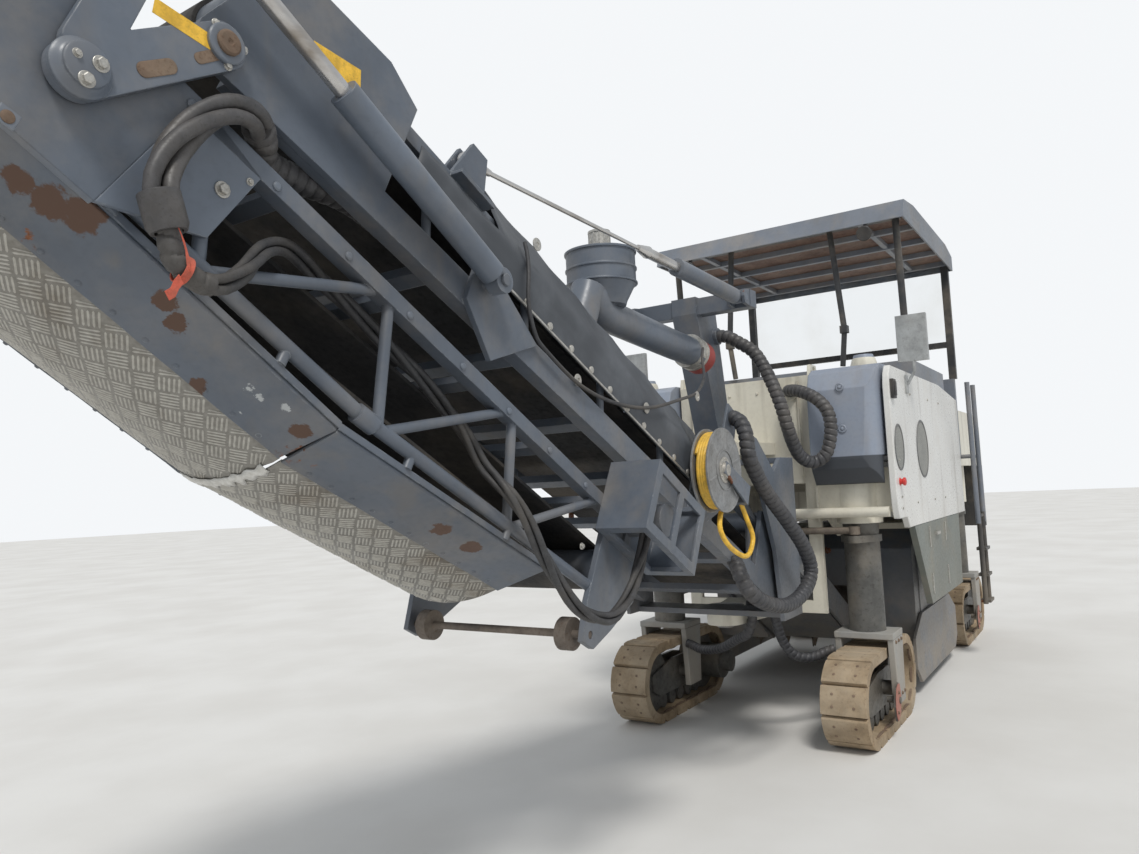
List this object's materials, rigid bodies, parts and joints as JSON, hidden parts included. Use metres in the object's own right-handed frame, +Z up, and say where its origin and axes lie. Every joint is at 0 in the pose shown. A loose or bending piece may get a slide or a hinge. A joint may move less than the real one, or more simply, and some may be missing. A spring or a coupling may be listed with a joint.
{
  "type": "cold planer milling machine",
  "caption": "Road milling machine on four steered tracks with a folding front conveyor, a belly milling drum and a canopy over the operator's platform.",
  "frame": {"origin": "on the ground under the middle of the machine's length and width", "axes": "+X forward to the conveyor, +Y to the machine's left, +Z up"},
  "size_m": [9.1884, 2.27, 3.59],
  "materials": {
    "frame_cream": "satin",
    "slate_steel": "satin",
    "tank_plastic": "matte",
    "dark_steel": "satin",
    "roof_grey": "satin",
    "glass": "clear",
    "track_steel": "worn, dusty",
    "worn_steel": "worn",
    "tread_plate": "chequered",
    "belt_rubber": "matte",
    "cover_black": "matte",
    "rod_chrome": "polished",
    "hose_yellow": "satin",
    "hose_black": "matte",
    "control_black": "matte"
  },
  "bodies": {
    "chassis": {"main_frame": "frame_cream", "drum_housing": "slate_steel", "scraper_blade": "slate_steel", "engine": "worn_steel", "rear_grille": "dark_steel", "tank_covers": "tank_plastic", "side_panels": "frame_cream", "operator_platform": "slate_steel", "control_console": "control_black", "canopy_frame": "dark_steel", "canopy_roof": "roof_grey", "rear_window": "glass", "mirrors": "dark_steel", "receiving_conveyor": "belt_rubber", "lower_panels": "slate_steel", "track_hoses": "track_steel"},
    "hood": {"engine_hood": "frame_cream"},
    "drum": {"milling_drum": "worn_steel"},
    "left_side_plate": {"side_plate_left": "slate_steel"},
    "right_side_plate": {"side_plate_right": "slate_steel"},
    "left_ladder": {"ladder_left": "dark_steel"},
    "right_ladder": {"ladder_right": "dark_steel"},
    "front_left_track": {"column_front_left": "slate_steel", "track_front_left": "track_steel"},
    "front_right_track": {"column_front_right": "slate_steel", "track_front_right": "track_steel"},
    "rear_left_track": {"column_rear_left": "slate_steel", "track_rear_left": "track_steel"},
    "rear_right_track": {"column_rear_right": "slate_steel", "track_rear_right": "track_steel"},
    "front_tie_rod": {"tie_rod_front": "frame_cream"},
    "rear_tie_rod": {"tie_rod_rear": "frame_cream"},
    "mast": {"slew_mast": "slate_steel", "tank_hose": "hose_black"},
    "luff_cylinders": {"luff_barrels": "slate_steel"},
    "luff_ropes": {"luff_rods": "rod_chrome"},
    "inner_conveyor": {"inner_section": "slate_steel", "inner_belt": "belt_rubber", "inner_cover": "cover_black", "dust_fan": "slate_steel", "reel_bracket": "slate_steel", "conveyor_hose": "hose_black", "fold_hoses": "hose_black", "reel_hose": "hose_yellow"},
    "reel": {"hose_reel": "hose_yellow"},
    "fold_cylinders": {"fold_barrels": "slate_steel"},
    "fold_cylinder_rods": {"fold_rods": "rod_chrome"},
    "fold_links": {"fold_arms": "slate_steel"},
    "outer_conveyor": {"outer_section": "slate_steel", "outer_cover": "tread_plate", "outer_belt": "belt_rubber", "drive_guard": "slate_steel", "outer_hoses": "hose_black"},
    "wheels": {"support_wheels": "slate_steel"}
  },
  "joints": [
    {"name": "drum_spin", "type": "hinge", "parent": "chassis", "child": "drum", "pos_m": [-2.11418, 0, 0.64], "axis": [0, 1, 0], "continuous": true},
    {"name": "side_plate_left_lift", "type": "slide", "parent": "chassis", "child": "left_side_plate", "axis": [0, 0, 1], "range_m": [0, 0.3]},
    {"name": "side_plate_right_lift", "type": "slide", "parent": "chassis", "child": "right_side_plate", "axis": [0, 0, 1], "range_m": [0, 0.3]},
    {"name": "hood_lift", "type": "hinge", "parent": "chassis", "child": "hood", "pos_m": [-3.25418, 0, 2.14], "axis": [0, 1, 0], "range_deg": [0, 55]},
    {"name": "ladder_left_fold", "type": "hinge", "parent": "chassis", "child": "left_ladder", "pos_m": [-2.93418, 1.07, 1.2], "axis": [1, 0, 0], "range_deg": [0, 90]},
    {"name": "ladder_right_fold", "type": "hinge", "parent": "chassis", "child": "right_ladder", "pos_m": [-2.93418, -1.07, 1.2], "axis": [-1, 0, 0], "range_deg": [0, 90]},
    {"name": "steer_front_left", "type": "hinge", "parent": "chassis", "child": "front_left_track", "pos_m": [-0.43418, 0.7, 0.3], "axis": [0, 0, 1], "range_deg": [-25, 25], "deforming": ["track_hoses"]},
    {"name": "steer_front_right", "type": "hinge", "parent": "chassis", "child": "front_right_track", "pos_m": [-0.43418, -0.7, 0.3], "axis": [0, 0, 1], "range_deg": [-25, 25]},
    {"name": "front_tie_rod_turn", "type": "hinge", "parent": "front_left_track", "child": "front_tie_rod", "pos_m": [-0.28418, 0.7, 1.2], "axis": [0, 0, 1], "range_deg": [-25, 25]},
    {"name": "steer_rear_left", "type": "hinge", "parent": "chassis", "child": "rear_left_track", "pos_m": [-3.79418, 0.7, 0.3], "axis": [0, 0, 1], "range_deg": [-18, 18]},
    {"name": "steer_rear_right", "type": "hinge", "parent": "chassis", "child": "rear_right_track", "pos_m": [-3.79418, -0.7, 0.3], "axis": [0, 0, 1], "range_deg": [-18, 18]},
    {"name": "rear_tie_rod_turn", "type": "hinge", "parent": "rear_left_track", "child": "rear_tie_rod", "pos_m": [-3.64418, 0.7, 1.2], "axis": [0, 0, 1], "range_deg": [-18, 18]},
    {"name": "conveyor_slew", "type": "hinge", "parent": "chassis", "child": "mast", "pos_m": [0.18582, 0, 1.2], "axis": [0, 0, 1], "range_deg": [-40, 40], "deforming": ["tank_hose"]},
    {"name": "conveyor_luff", "type": "hinge", "parent": "mast", "child": "inner_conveyor", "pos_m": [0.36582, 0, 1.025], "axis": [0, -1, 0], "range_deg": [-10, 10], "deforming": ["conveyor_hose", "reel_hose"]},
    {"name": "luff_cylinder_turn", "type": "hinge", "parent": "mast", "child": "luff_cylinders", "pos_m": [0.56582, 0, 2.65], "axis": [0, -1, 0], "range_deg": [-11.63, 11.63]},
    {"name": "luff_rod_stroke", "type": "slide", "parent": "luff_cylinders", "child": "luff_ropes", "axis": [0.9995, 0, 0.0301], "range_m": [-0.2855, 0.2855]},
    {"name": "reel_spin", "type": "hinge", "parent": "inner_conveyor", "child": "reel", "pos_m": [1.42285, 0.54, 1.65035], "axis": [0, 1, 0], "continuous": true},
    {"name": "conveyor_fold", "type": "hinge", "parent": "inner_conveyor", "child": "fold_links", "pos_m": [3.95791, 0, 2.66175], "axis": [0, -1, 0], "range_deg": [0, 84.2], "deforming": ["fold_hoses"]},
    {"name": "outer_swing", "type": "hinge", "parent": "fold_links", "child": "outer_conveyor", "pos_m": [4.28595, 0, 2.46997], "axis": [0, -1, 0], "range_deg": [0, 93], "deforming": ["outer_hoses"]},
    {"name": "fold_cylinder_turn", "type": "hinge", "parent": "inner_conveyor", "child": "fold_cylinders", "pos_m": [3.01473, 0, 2.26748], "axis": [0, -1, 0], "range_deg": [0, 7.14]},
    {"name": "fold_rod_stroke", "type": "slide", "parent": "fold_cylinders", "child": "fold_cylinder_rods", "axis": [0.8505, 0, 0.526], "range_m": [-0.3821, 0]},
    {"name": "support_wheel_spin", "type": "hinge", "parent": "outer_conveyor", "child": "wheels", "pos_m": [2.45533, 0, 1.0551], "axis": [0, 1, 0], "continuous": true}
  ],
  "couplings": [
    {"joint": "steer_front_right", "follows": "steer_front_left", "ratio": 1},
    {"joint": "front_tie_rod_turn", "follows": "steer_front_left", "ratio": -1},
    {"joint": "steer_rear_right", "follows": "steer_rear_left", "ratio": 1},
    {"joint": "rear_tie_rod_turn", "follows": "steer_rear_left", "ratio": -1},
    {"joint": "luff_cylinder_turn", "follows": "conveyor_luff", "ratio": 1.1126},
    {"joint": "luff_rod_stroke", "follows": "conveyor_luff", "m_per_rad": -1.6071},
    {"joint": "outer_swing", "follows": "conveyor_fold", "ratio": 1.1021},
    {"joint": "fold_cylinder_turn", "follows": "conveyor_fold", "ratio": 0.08119},
    {"joint": "fold_rod_stroke", "follows": "conveyor_fold", "m_per_rad": -0.25796}
  ]
}
